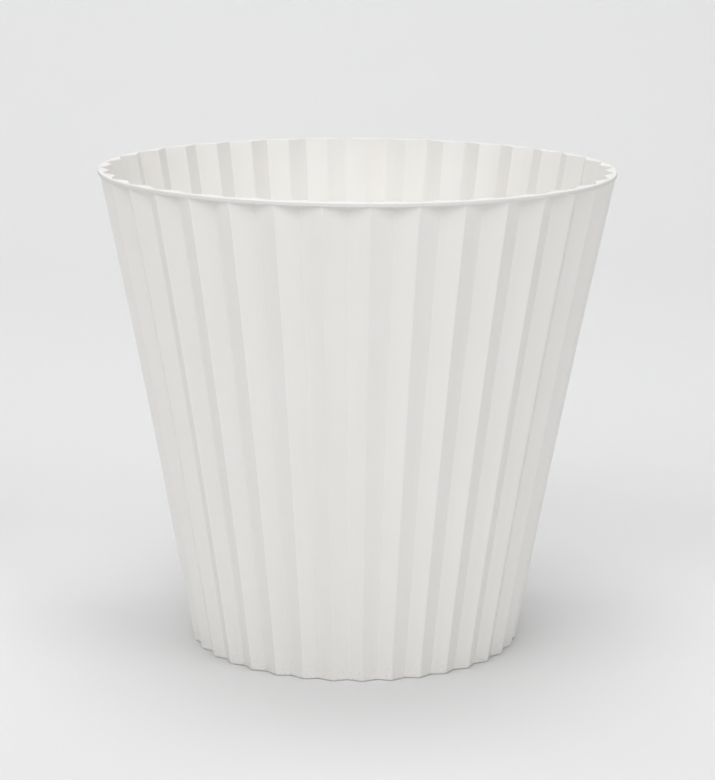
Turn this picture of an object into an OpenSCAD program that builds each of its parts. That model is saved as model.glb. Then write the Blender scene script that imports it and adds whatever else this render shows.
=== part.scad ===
// Round tapered wastebasket with a pleated wall, moulded in one shot.
// Millimetres, +Z up. The origin is on the axis, at the surface that the basket stands on,
// and one pleat ridge points along -Y. The nodes are the regions of the moulding:
// each meets the next face to face.

/* [Size] */
// Outer diameter of the rim
rim_d = 280; // [240:1:340]
// Diameter across the pleat ridges at the foot
base_d = 181; // [140:1:210]
// Height from the surface it stands on to the top of the rim
height = 262; // [150:1:400]

/* [Pleats] */
// Number of pleats around the wall
pleats = 36; // [24:1:48]
// Depth of a pleat as a share of the ridge radius
pleat_depth = 0.036; // [0.02:0.002:0.05]
// How far the wall bows inwards at half height
wall_bow = 1.2; // [0:0.1:4]

/* [Moulding] */
// Thickness of the wall, measured level
wall_t = 1; // [0.8:0.1:2.5]
// Thickness of the rim flange
rim_t = 2.2; // [1:0.1:4]
// How far the rim flange stands out past the ridges
rim_lip = 0.5; // [0.2:0.1:3]
// Thickness of the foot ring and of the floor
floor_t = 1.8; // [1:0.1:4]
// Width of the foot ring, from the valleys inwards
foot_w = 14; // [8:1:25]
// How far the floor is raised above the foot ring's underside
floor_lift = 3; // [2:0.5:8]

/* [Hidden] */

rim_r = rim_d / 2;
base_r = base_d / 2;
rim_z = height - rim_t;
corners = 2 * pleats;
half_pitch = 360 / corners;
valley = 1 - pleat_depth;
floor_r = base_r * valley - foot_w;
riser_t = floor_t;
wall_bands = 6;
plastic = "#F3F2EE";
// Slack that makes a cutting tool run clean through the face it leaves by
cut = 1;
$fn = 288;

// Radius of the ridges at height z
function ridge_r(z) =
    let (t = z / rim_z)
    base_r + (rim_r - rim_lip - base_r) * t - 4 * wall_bow * t * (1 - t);

// Distance from the axis to the flats of an outline whose ridge radius is 1
flat_share = valley * sin(half_pitch) / sqrt(1 + valley * valley - 2 * valley * cos(half_pitch));

// Radius of the ridges of the wall's inner face at height z
function inner_ridge_r(z) = ridge_r(z) - wall_t / flat_share;

// Corners of the pleated outline, ridge and valley by turns, for a ridge radius r
function outline(r) =
    [for (i = [0 : corners - 1])
        let (a = i * half_pitch - 90, d = i % 2 == 0 ? r : r * valley)
        [d * cos(a), d * sin(a)]];

// The same corners as points at height z
function ring(r, z) = [for (p = outline(r)) [p[0], p[1], z]];

// Quads that join ring number lower to ring number upper
function band(lower, upper) =
    [for (i = [0 : corners - 1])
        let (j = (i + 1) % corners)
        [lower * corners + i, upper * corners + i, upper * corners + j, lower * corners + j]];

// Flat flange round the mouth: a round outer edge, and an inner edge that follows the pleats
module rim_flange() {
    color(plastic)
    translate([0, 0, rim_z])
    difference() {
        cylinder(h = rim_t, r = rim_r);
        translate([0, 0, -cut])
        linear_extrude(height = rim_t + 2 * cut)
        polygon(outline(inner_ridge_r(rim_z)));
    }
}

// Tapered pleated wall, from the foot ring up to the underside of the flange: one row of
// rings for its outer face, one for its inner face, joined at the top and at the bottom
module pleated_wall() {
    heights = [for (k = [0 : wall_bands]) floor_t + (rim_z - floor_t) * k / wall_bands];
    top = wall_bands;
    inner = wall_bands + 1;
    color(plastic)
    polyhedron(
        points = concat(
            [for (z = heights) each ring(ridge_r(z), z)],
            [for (z = heights) each ring(inner_ridge_r(z), z)]),
        faces = concat(
            [for (k = [0 : top - 1]) each band(k, k + 1)],
            [for (k = [0 : top - 1]) each band(inner + k + 1, inner + k)],
            band(top, inner + top),
            band(inner, 0)),
        convexity = 10);
}

// Ring under the wall that the basket stands on; its edge carries the pleats to the ground
module foot_ring() {
    color(plastic)
    difference() {
        linear_extrude(height = floor_t, scale = ridge_r(floor_t) / ridge_r(0))
        polygon(outline(ridge_r(0)));
        translate([0, 0, -cut])
        cylinder(h = floor_t + 2 * cut, r = floor_r);
    }
}

// Raised floor, with the low riser that joins it to the foot ring
module floor_panel() {
    color(plastic)
    rotate_extrude()
    polygon([
        [0, floor_lift],
        [floor_r, floor_lift],
        [floor_r, floor_t],
        [floor_r + riser_t, floor_t],
        [floor_r + riser_t, floor_lift + floor_t],
        [0, floor_lift + floor_t]]);
}

rim_flange();
pleated_wall();
foot_ring();
floor_panel();
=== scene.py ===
"""Round pleated wastebasket on a pale floor.

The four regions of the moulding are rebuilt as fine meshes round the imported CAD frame, with rounded
creases and edges. Metres, +Z up, the origin on the axis at the floor, one pleat ridge along -Y.
"""

import math

import bmesh
import bpy
from mathutils import Matrix, Vector


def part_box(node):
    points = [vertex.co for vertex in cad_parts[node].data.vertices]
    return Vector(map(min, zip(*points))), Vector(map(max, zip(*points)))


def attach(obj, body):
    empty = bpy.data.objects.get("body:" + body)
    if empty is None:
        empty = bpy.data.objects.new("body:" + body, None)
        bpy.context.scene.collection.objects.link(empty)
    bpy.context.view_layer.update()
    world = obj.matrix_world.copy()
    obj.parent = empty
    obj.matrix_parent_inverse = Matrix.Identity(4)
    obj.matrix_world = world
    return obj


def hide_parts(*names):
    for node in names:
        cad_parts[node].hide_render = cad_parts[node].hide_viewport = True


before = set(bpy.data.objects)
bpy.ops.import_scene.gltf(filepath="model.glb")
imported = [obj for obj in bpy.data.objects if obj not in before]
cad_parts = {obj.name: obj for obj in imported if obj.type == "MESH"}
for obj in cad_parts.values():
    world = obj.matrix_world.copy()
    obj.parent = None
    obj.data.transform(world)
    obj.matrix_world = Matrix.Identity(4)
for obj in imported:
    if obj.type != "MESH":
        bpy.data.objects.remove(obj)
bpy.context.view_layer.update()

MM = 0.001
SLOT = "white_polypropylene"

# ---------------------------------------------------------------- sizes read from the frame
flange_low, flange_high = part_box("rim_flange")
wall_low, wall_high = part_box("pleated_wall")
foot_low, foot_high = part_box("foot_ring")
floor_low, floor_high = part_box("floor_panel")

TOP_Z = flange_high.z
RIM_Z = flange_low.z
RIM_R = -flange_low.y
FOOT_T = foot_high.z
FLOOR_TOP_Z = floor_high.z
# The raised floor is as thick as the foot ring
FLOOR_T = FOOT_T
RISER_R = -floor_low.y
RECESS_R = RISER_R - FLOOR_T
TOP_RIDGE_R = -wall_low.y
FOOT_RIDGE_R = -foot_low.y

# ---------------------------------------------------------------- the moulding's other sizes
PLEATS = 36
CORNERS = 2 * PLEATS
HALF_PITCH = math.tau / CORNERS
PLEAT_DEPTH = 0.036
VALLEY = 1 - PLEAT_DEPTH
WALL_T = 1.0 * MM
WALL_BOW = 1.2 * MM
RIDGE_ROUND = 0.6 * MM
VALLEY_ROUND = 0.7 * MM
# The rim's section: a crisp inner edge, a full outer one and a smaller one underneath
FLANGE_INNER_ROUND = 0.25 * MM
FLANGE_OUTER_ROUND = 0.8 * MM
FLANGE_UNDER_ROUND = 0.3 * MM
FOOT_ROUND = 1.3 * MM
FLOOR_ROUND = 0.9 * MM
# Radius of the inside corners where the wall and the riser meet the foot ring
FILLET = 1.6 * MM
# Mark that the injection gate leaves in the middle of the underside
GATE_R = 2.5 * MM
GATE_H = 0.6 * MM
GATE_ROUND = 0.3 * MM
# How far from a rounded edge the flat beside it gets its own row of points
SUPPORT = 0.15 * MM
# The same on the rim's top, which is narrow at the ridges
RIM_SUPPORT = 0.04 * MM

# Edges that turn by more than this are shaded as sharp
SHARP = math.radians(35)

# Steps round a crease, along a pleat's flat, round an edge and round the rim's outer edge
ARC_STEPS = 4
FLAT_STEPS = 4
EDGE_STEPS = 4
RIM_EDGE_STEPS = 6
# Rows of faces up the wall
WALL_ROWS = 14

# Distance from the axis to the flats of a pleated outline whose ridge radius is 1
FLAT_SHARE = VALLEY * math.sin(HALF_PITCH) / math.sqrt(
    1 + VALLEY ** 2 - 2 * VALLEY * math.cos(HALF_PITCH))


def bow(z):
    """How far the wall curves inwards of its straight line at height z."""
    t = z / RIM_Z
    return 4 * WALL_BOW * t * (1 - t)


# Straight-line ridge radius at the ground, from the ridge radii at the foot ring's top and the rim
FOOT_SHARE = FOOT_T / RIM_Z
BASE_RIDGE_R = (FOOT_RIDGE_R + bow(FOOT_T) - TOP_RIDGE_R * FOOT_SHARE) / (1 - FOOT_SHARE)


def ridge_r(z):
    """Radius of the outer ridges at height z."""
    return BASE_RIDGE_R + (TOP_RIDGE_R - BASE_RIDGE_R) * z / RIM_Z - bow(z)


# ---------------------------------------------------------------- rings of points
def rounded_corner(before, corner, after, radius):
    """Points round one corner of an outline: a row of the flat, the arc, a row of the next flat."""
    to_before = (before - corner).normalized()
    to_after = (after - corner).normalized()
    half = to_before.angle(to_after) / 2
    reach = radius / math.tan(half)
    centre = corner + (to_before + to_after).normalized() * radius / math.sin(half)
    start = corner + to_before * reach - centre
    end = corner + to_after * reach - centre
    sweep = start.angle(end)
    points = [corner + to_before * (reach + SUPPORT)]
    for k in range(ARC_STEPS + 1):
        t = k / ARC_STEPS
        across = (start * math.sin((1 - t) * sweep) + end * math.sin(t * sweep)) / math.sin(sweep)
        points.append(centre + across)
    points.append(corner + to_after * (reach + SUPPORT))
    return points


def pleated(radius):
    """Pleated outline with rounded creases, for a ridge radius, starting at the -Y ridge."""
    corners = []
    for k in range(CORNERS):
        angle = k * HALF_PITCH - math.pi / 2
        reach = radius if k % 2 == 0 else radius * VALLEY
        corners.append(Vector((reach * math.cos(angle), reach * math.sin(angle))))
    outline = []
    for k, corner in enumerate(corners):
        after = corners[(k + 1) % CORNERS]
        crease_round = RIDGE_ROUND if k % 2 == 0 else VALLEY_ROUND
        outline += rounded_corner(corners[k - 1], corner, after, crease_round)
        for step in range(1, FLAT_STEPS):
            outline.append(corner.lerp(after, step / FLAT_STEPS))
    return outline


ANGLES = [math.atan2(p.y, p.x) for p in pleated(TOP_RIDGE_R)]


def circle(radius):
    """Round outline with a point beside each point of the pleated one."""
    return [Vector((radius * math.cos(a), radius * math.sin(a))) for a in ANGLES]


def wall_ring(z, inset=0.0):
    """Pleated ring at height z, set inwards from the wall's outer face by inset."""
    return z, pleated(ridge_r(z) - inset / FLAT_SHARE)


def round_ring(z, radius):
    """Round ring at height z."""
    return z, circle(radius)


def quarter(steps=EDGE_STEPS):
    """Cosine and sine of a quarter turn, from 0 to 90 degrees."""
    return [(math.cos(k / steps * math.pi / 2), math.sin(k / steps * math.pi / 2))
            for k in range(steps + 1)]


# ---------------------------------------------------------------- meshes
def finished_object(name, bm):
    """Smooth-shaded object, linked to the scene, from a bmesh, which is freed."""
    bmesh.ops.recalc_face_normals(bm, faces=bm.faces)
    for face in bm.faces:
        face.smooth = True
    mesh = bpy.data.meshes.new(name)
    bm.to_mesh(mesh)
    bm.free()
    made = bpy.data.objects.new(name, mesh)
    bpy.context.scene.collection.objects.link(made)
    return made


def new_piece(name, build, cad_node):
    """Piece of the basket that stands for a CAD node; build fills its bmesh."""
    bm = bmesh.new()
    build(bm)
    piece = finished_object(name, bm)
    piece.data.set_sharp_from_angle(angle=SHARP)
    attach(piece, "root")
    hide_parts(cad_node)
    return piece


def loft(bm, rings, closed=False):
    """Quads between one ring and the next; closed joins the last ring to the first."""
    rows = [[bm.verts.new((p.x, p.y, z)) for p in outline] for z, outline in rings]
    followers = rows[1:] + rows[:1] if closed else rows[1:]
    for lower, upper in zip(rows, followers):
        for i in range(len(lower)):
            j = (i + 1) % len(lower)
            bm.faces.new((lower[i], lower[j], upper[j], upper[i]))
    return rows


def build_wall(bm):
    """Outer and inner face, with a fillet inside where the wall meets the foot ring."""
    heights = [FOOT_T + (RIM_Z - FOOT_T) * k / WALL_ROWS for k in range(WALL_ROWS + 1)]
    rings = [wall_ring(z) for z in heights]
    rings += [wall_ring(z, WALL_T) for z in reversed(heights[1:])]
    for c, s in quarter():
        rings.append(wall_ring(FOOT_T + FILLET * (1 - s), WALL_T + FILLET * (1 - c)))
    loft(bm, rings, closed=True)


def build_flange(bm):
    """Flat-topped ring, pleated inside and round outside, with rounded edges."""
    r = FLANGE_INNER_ROUND
    rings = [wall_ring(RIM_Z, WALL_T), wall_ring(TOP_Z - r - SUPPORT, WALL_T)]
    for c, s in quarter():
        rings.append(wall_ring(TOP_Z - r + r * s, WALL_T - r + r * c))
    rings.append(wall_ring(TOP_Z, WALL_T - r - RIM_SUPPORT))
    r = FLANGE_OUTER_ROUND
    rings.append(round_ring(TOP_Z, RIM_R - r - RIM_SUPPORT))
    for c, s in quarter(RIM_EDGE_STEPS):
        rings.append(round_ring(TOP_Z - r + r * c, RIM_R - r + r * s))
    rings.append(round_ring(TOP_Z - r - SUPPORT, RIM_R))
    r = FLANGE_UNDER_ROUND
    rings.append(round_ring(RIM_Z + r + SUPPORT, RIM_R))
    for c, s in quarter():
        rings.append(round_ring(RIM_Z + r - r * s, RIM_R - r + r * c))
    rings.append(wall_ring(RIM_Z))
    loft(bm, rings, closed=True)


def build_foot(bm):
    """Ring with a pleated, rounded outer edge and a flat face to stand on."""
    r = FOOT_ROUND
    rings = [wall_ring(FOOT_T), wall_ring(r + SUPPORT)]
    for c, s in quarter():
        rings.append(wall_ring(r - r * s, r - r * c))
    rings.append(wall_ring(0.0, r + SUPPORT))
    edge = FLOOR_ROUND
    rings.append(round_ring(0.0, RECESS_R + edge + SUPPORT))
    for c, s in quarter():
        rings.append(round_ring(edge - edge * c, RECESS_R + edge - edge * s))
    rings.append(round_ring(FOOT_T, RECESS_R))
    rings.append(round_ring(FOOT_T, RISER_R + FILLET))
    rings.append(wall_ring(FOOT_T, WALL_T + FILLET))
    loft(bm, rings, closed=True)


def build_floor(bm):
    """Raised disc with a rounded shoulder, the riser that carries it, and the gate mark underneath."""
    r = FLOOR_ROUND
    under = FLOOR_TOP_Z - FLOOR_T
    rings = [round_ring(under - GATE_H, GATE_R - GATE_ROUND)]
    for c, s in quarter()[1:]:
        rings.append(round_ring(under - GATE_H + GATE_ROUND * (1 - c), GATE_R - GATE_ROUND * (1 - s)))
    rings += [round_ring(under, GATE_R), round_ring(under, GATE_R + SUPPORT)]
    rings += [round_ring(under, RECESS_R), round_ring(FOOT_T, RECESS_R)]
    for c, s in quarter():
        rings.append(round_ring(FOOT_T + FILLET * (1 - c), RISER_R + FILLET * (1 - s)))
    rings.append(round_ring(FLOOR_TOP_Z - r - SUPPORT, RISER_R))
    for c, s in quarter():
        rings.append(round_ring(FLOOR_TOP_Z - r + r * s, RISER_R - r + r * c))
    rings.append(round_ring(FLOOR_TOP_Z, RISER_R - r - SUPPORT))
    rows = loft(bm, rings)
    for z, row in ((under - GATE_H, rows[0]), (FLOOR_TOP_Z, rows[-1])):
        middle = bm.verts.new((0, 0, z))
        for i in range(len(row)):
            bm.faces.new((row[i], row[(i + 1) % len(row)], middle))


wall = new_piece("pleated_wall_shell", build_wall, "pleated_wall")
flange = new_piece("rim_flange_shell", build_flange, "rim_flange")
foot = new_piece("foot_ring_shell", build_foot, "foot_ring")
floor_panel = new_piece("floor_panel_shell", build_floor, "floor_panel")


# ---------------------------------------------------------------- materials
WARM_WHITE = (0.894, 0.878, 0.851, 1)
COOL_WHITE = (0.906, 0.895, 0.875, 1)
RUBBED_WHITE = (0.878, 0.869, 0.853, 1)
SCUFF_GREY = (0.70, 0.68, 0.65, 1)
# Painted shade: a darker white laid on the rim's top and outer face
RIM_PAINTED_SHADE = (0.790, 0.780, 0.766, 1)
PAPER_LIGHT = (0.755, 0.756, 0.758, 1)
PAPER_DARK = (0.745, 0.746, 0.748, 1)

# Flow streaks are drawn on a circle of this radius, and heights count this much less than widths
STREAK_R = 0.12
STREAK_SHORTEN = 0.04

# Lumps per metre in the plastic's and the paper's noise
STREAK_SCALE = 260
MOTTLE_SCALE = 24
SPECK_SCALE = 900
GRAIN_SCALE = 2400
SWELL_SCALE = 17
FIBRE_SCALE = 700

# Heights of the bumps that the noise makes
SWELL_H = 0.5 * MM
STREAK_H = 0.012 * MM
GRAIN_H = 0.010 * MM
FIBRE_H = 0.03 * MM

# Noise between these two values uses the whole of what it drives
TONE_START, TONE_END = 0.34, 0.66
RUB_START, RUB_END = 0.50, 0.66
SCUFF_START, SCUFF_END = 0.58, 0.68
FIBRE_START, FIBRE_END = 0.35, 0.65

# Cosine of the pleat's phase where the rubbing on a ridge begins
CREST_START = 0.90
# How high the scuffs at the foot reach
SCUFF_TOP = 12 * MM
# Where the rim's painted shade and duller finish begin, below the top and inwards from the outer face,
# and where they are whole
RIM_TOP_START, RIM_TOP_WHOLE = 0.3 * MM, 0.1 * MM
RIM_SIDE_START, RIM_SIDE_WHOLE = 0.5 * MM, 0.2 * MM

# How far each mark takes the colour towards its own
RUB_AMOUNT = 0.35
SCUFF_AMOUNT = 0.8
# How far the rim's painted shade darkens the colour
RIM_SHADE_AMOUNT = 0.9

GLOSSY_ROUGHNESS = 0.38
SATIN_ROUGHNESS = 0.47
RUB_ROUGHNESS = 0.10
RIM_ROUGHNESS = 0.12
PLASTIC_IOR = 1.49
PAPER_ROUGHNESS = 0.9
PAPER_SPECULAR = 0.1


def new_material(name):
    """New material, its node tree and its shader."""
    mat = bpy.data.materials.new(name)
    mat.use_nodes = True
    return mat, mat.node_tree, mat.node_tree.nodes["Principled BSDF"]


def node(tree, kind, inputs=None, **settings):
    """New shader node. inputs gives each input, by name or number, a value or a socket to follow."""
    made = tree.nodes.new(kind)
    for key, value in settings.items():
        setattr(made, key, value)
    for key, value in (inputs or {}).items():
        if isinstance(value, bpy.types.NodeSocket):
            tree.links.new(value, made.inputs[key])
        else:
            made.inputs[key].default_value = value
    return made


def math_node(tree, operation, first, second=0.0):
    return node(tree, "ShaderNodeMath", {0: first, 1: second}, operation=operation).outputs[0]


def vector_of(tree, x, y, z):
    return node(tree, "ShaderNodeCombineXYZ", {"X": x, "Y": y, "Z": z}).outputs[0]


def noise(tree, place, scale, detail=2.0):
    """Noise from 0 to 1 round 0.5; scale is in lumps per metre."""
    made = node(tree, "ShaderNodeTexNoise", {"Vector": place, "Scale": scale, "Detail": detail})
    return made.outputs["Fac"]


def spread(tree, value, start, end, low, high):
    """Value brought from the range start-end to low-high, and held within it."""
    made = node(tree, "ShaderNodeMapRange", {
        "Value": value, "From Min": start, "From Max": end, "To Min": low, "To Max": high})
    return made.outputs["Result"]


# A colour Mix node's sockets by number, because its names repeat for every data type
MIX_AMOUNT, MIX_FIRST, MIX_SECOND, MIX_RESULT = 0, 6, 7, 2


def blend(tree, amount, first, second):
    """Colour between first and second."""
    made = node(tree, "ShaderNodeMix", {MIX_AMOUNT: amount, MIX_FIRST: first, MIX_SECOND: second},
                data_type="RGBA")
    return made.outputs[MIX_RESULT]


def bump(tree, height, distance, under=None):
    """Surface tilted by a height map whose full range is distance metres, on top of another bump."""
    made = node(tree, "ShaderNodeBump", {"Height": height, "Strength": 1.0, "Distance": distance})
    if under:
        tree.links.new(under, made.inputs["Normal"])
    return made.outputs["Normal"]


def plastic_material():
    """Satin white polypropylene.

    Fine spark-eroded grain, faint flow streaks up the wall, walls that aren't quite flat, soft mottling,
    ridges rubbed a little, painted shade and more roughness on the rim, and a few scuffs round the foot.
    """
    mat, tree, shader = new_material(SLOT)
    place = node(tree, "ShaderNodeTexCoord").outputs["Object"]
    axes = node(tree, "ShaderNodeSeparateXYZ", {0: place})
    x, y, z = axes.outputs

    # Where a point is round the axis, as a point on a circle, so that streaks follow the tapered wall
    level = vector_of(tree, x, y, 0.0)
    outwards = node(tree, "ShaderNodeVectorMath", {0: level}, operation="NORMALIZE").outputs[0]
    round_axis = node(tree, "ShaderNodeSeparateXYZ", {0: outwards})
    streak_place = vector_of(
        tree,
        math_node(tree, "MULTIPLY", round_axis.outputs[0], STREAK_R),
        math_node(tree, "MULTIPLY", round_axis.outputs[1], STREAK_R),
        math_node(tree, "MULTIPLY", z, STREAK_SHORTEN))
    streaks = noise(tree, streak_place, STREAK_SCALE, 3.0)

    mottle = noise(tree, place, MOTTLE_SCALE, 3.0)
    specks = noise(tree, place, SPECK_SCALE)
    grain = noise(tree, place, GRAIN_SCALE)
    swell = noise(tree, place, SWELL_SCALE, 1.0)

    # 1 on the crests of the pleats, 0 well before their valleys
    angle = math_node(tree, "ARCTAN2", y, x)
    phase = math_node(tree, "MULTIPLY", math_node(tree, "ADD", angle, math.pi / 2), PLEATS)
    crest = spread(tree, math_node(tree, "COSINE", phase), CREST_START, 1.0, 0.0, 1.0)
    foot_zone = spread(tree, z, 0.0, SCUFF_TOP, 1.0, 0.0)

    # 1 on the rim's top and outer face: painted shade there, and the rubbing and roughness of hands and
    # bag edges
    radius = node(tree, "ShaderNodeVectorMath", {0: level}, operation="LENGTH").outputs["Value"]
    rim_top = spread(tree, z, TOP_Z - RIM_TOP_START, TOP_Z - RIM_TOP_WHOLE, 0.0, 1.0)
    rim_side = spread(tree, radius, RIM_R - RIM_SIDE_START, RIM_R - RIM_SIDE_WHOLE, 0.0, 1.0)
    rim_shade_and_wear = math_node(tree, "MAXIMUM", rim_top, rim_side)

    exposed = math_node(tree, "MAXIMUM", math_node(tree, "MAXIMUM", crest, foot_zone), rim_shade_and_wear)
    rub_marks = spread(tree, specks, RUB_START, RUB_END, 0.0, 1.0)
    rubbed = math_node(tree, "MULTIPLY", exposed, rub_marks)
    scuff_marks = spread(tree, specks, SCUFF_START, SCUFF_END, 0.0, SCUFF_AMOUNT)
    scuffed = math_node(tree, "MULTIPLY", foot_zone, scuff_marks)

    half_streaks = math_node(tree, "MULTIPLY", streaks, 0.5)
    half_mottle = math_node(tree, "MULTIPLY", mottle, 0.5)
    tone = math_node(tree, "ADD", half_streaks, half_mottle)
    colour = blend(tree, spread(tree, tone, TONE_START, TONE_END, 0.0, 1.0), WARM_WHITE, COOL_WHITE)
    colour = blend(tree, math_node(tree, "MULTIPLY", rubbed, RUB_AMOUNT), colour, RUBBED_WHITE)
    # Painted shade: the rim's top and outer face are darkened here
    colour = blend(tree, math_node(tree, "MULTIPLY", rim_shade_and_wear, RIM_SHADE_AMOUNT), colour, RIM_PAINTED_SHADE)
    colour = blend(tree, scuffed, colour, SCUFF_GREY)
    tree.links.new(colour, shader.inputs["Base Color"])

    rough = spread(tree, tone, TONE_START, TONE_END, GLOSSY_ROUGHNESS, SATIN_ROUGHNESS)
    rough = math_node(tree, "ADD", rough, math_node(tree, "MULTIPLY", rubbed, RUB_ROUGHNESS))
    rough = math_node(tree, "ADD", rough, math_node(tree, "MULTIPLY", rim_shade_and_wear, RIM_ROUGHNESS))
    tree.links.new(rough, shader.inputs["Roughness"])

    surface = bump(tree, swell, SWELL_H)
    surface = bump(tree, streaks, STREAK_H, surface)
    surface = bump(tree, grain, GRAIN_H, surface)
    tree.links.new(surface, shader.inputs["Normal"])
    shader.inputs["IOR"].default_value = PLASTIC_IOR
    return mat


plastic = plastic_material()
for piece in (wall, flange, foot, floor_panel):
    piece.data.materials.append(plastic)


def paper_material():
    """Matt studio paper with a faint fibre."""
    mat, tree, shader = new_material("studio_paper")
    place = node(tree, "ShaderNodeTexCoord").outputs["Object"]
    fibre = noise(tree, place, FIBRE_SCALE, 3.0)
    shade = spread(tree, fibre, FIBRE_START, FIBRE_END, 0.0, 1.0)
    colour = blend(tree, shade, PAPER_DARK, PAPER_LIGHT)
    tree.links.new(colour, shader.inputs["Base Color"])
    tree.links.new(bump(tree, fibre, FIBRE_H), shader.inputs["Normal"])
    shader.inputs["Roughness"].default_value = PAPER_ROUGHNESS
    shader.inputs["Specular IOR Level"].default_value = PAPER_SPECULAR
    return mat


# ---------------------------------------------------------------- stage
SWEEP_HALF_WIDTH = 7.0
SWEEP_FRONT = -7.0
SWEEP_BACK = 2.2
SWEEP_BEND = 1.0
SWEEP_H = 4.0
SWEEP_STEPS = 16


def build_stage():
    """Paper sweep: a floor that curves up into a back wall."""
    profile = [(SWEEP_FRONT, 0.0), (SWEEP_BACK - SWEEP_BEND, 0.0)]
    for c, s in quarter(SWEEP_STEPS)[1:]:
        profile.append((SWEEP_BACK - SWEEP_BEND * (1 - s), SWEEP_BEND * (1 - c)))
    profile.append((SWEEP_BACK, SWEEP_H))
    bm = bmesh.new()
    sides = (-SWEEP_HALF_WIDTH, SWEEP_HALF_WIDTH)
    rows = [[bm.verts.new((x, y, z)) for y, z in profile] for x in sides]
    for i in range(len(profile) - 1):
        bm.faces.new((rows[0][i], rows[1][i], rows[1][i + 1], rows[0][i + 1]))
    sweep = finished_object("studio_sweep", bm)
    sweep.data.materials.append(paper_material())


build_stage()


# ---------------------------------------------------------------- light
CENTRE = Vector((0, 0, TOP_Z / 2))
SOFTBOX_AWAY = 4.0
SOFTBOX_SIZE = 2.4
AIR_STRENGTH = 0.03


def area_light(name, place, aim, size, power):
    """Rectangular light at place that faces aim, of a size in metres and a power in watts."""
    data = bpy.data.lights.new(name, "AREA")
    data.shape = "RECTANGLE"
    data.size, data.size_y = size
    data.energy = power
    lamp = bpy.data.objects.new(name, data)
    lamp.location = place
    lamp.rotation_euler = (aim - place).to_track_quat("-Z", "Y").to_euler()
    bpy.context.scene.collection.objects.link(lamp)


def softbox(name, azimuth, elevation, power):
    """Square light aimed at the basket. Azimuth 0 is in front, on the -Y side, and grows to the right."""
    a = math.radians(azimuth)
    e = math.radians(elevation)
    away = Vector((math.sin(a) * math.cos(e), -math.cos(a) * math.cos(e), math.sin(e)))
    place = CENTRE + away * SOFTBOX_AWAY
    area_light(name, place, CENTRE, (SOFTBOX_SIZE, SOFTBOX_SIZE), power)


softbox("overhead", 0, 90, 74.8)
softbox("key", -15, 42, 50.7)
softbox("left_side", -55, 30, 35.6)
softbox("right_side", 45, 30, 44.3)
area_light("backdrop_wash", Vector((0, 0.8, 2.6)), Vector((0, 2.2, 0.5)), (4.0, 0.5), 15)

world = bpy.data.worlds.new("studio_air")
world.use_nodes = True
air = world.node_tree.nodes["Background"]
air.inputs["Color"].default_value = (1, 1, 1, 1)
air.inputs["Strength"].default_value = AIR_STRENGTH
bpy.context.scene.world = world
bpy.context.scene.view_settings.view_transform = "Standard"


# ---------------------------------------------------------------- camera
SENSOR_W = 36
LENS = 118.2
# Turn round the basket's axis, then the place before that turn, then the look down, then the roll
CAMERA_TURN = math.radians(-2.82)
CAMERA_PLACE = (0.00085, -1.3810, 0.4349)
CAMERA_DOWN = math.radians(12.11)
CAMERA_ROLL = math.radians(0.401)


def build_camera():
    """Camera of the photograph's view: above the rim, about 1.4 m away, with a slight roll."""
    data = bpy.data.cameras.new("camera")
    data.sensor_width = SENSOR_W
    data.lens = LENS
    cam = bpy.data.objects.new("camera", data)
    turn = Matrix.Rotation(CAMERA_TURN, 4, "Z")
    place = Matrix.Translation(CAMERA_PLACE)
    tilt = Matrix.Rotation(math.pi / 2 - CAMERA_DOWN, 4, "X")
    roll = Matrix.Rotation(CAMERA_ROLL, 4, "Z")
    cam.matrix_world = turn @ place @ tilt @ roll
    bpy.context.scene.collection.objects.link(cam)
    bpy.context.scene.camera = cam


build_camera()
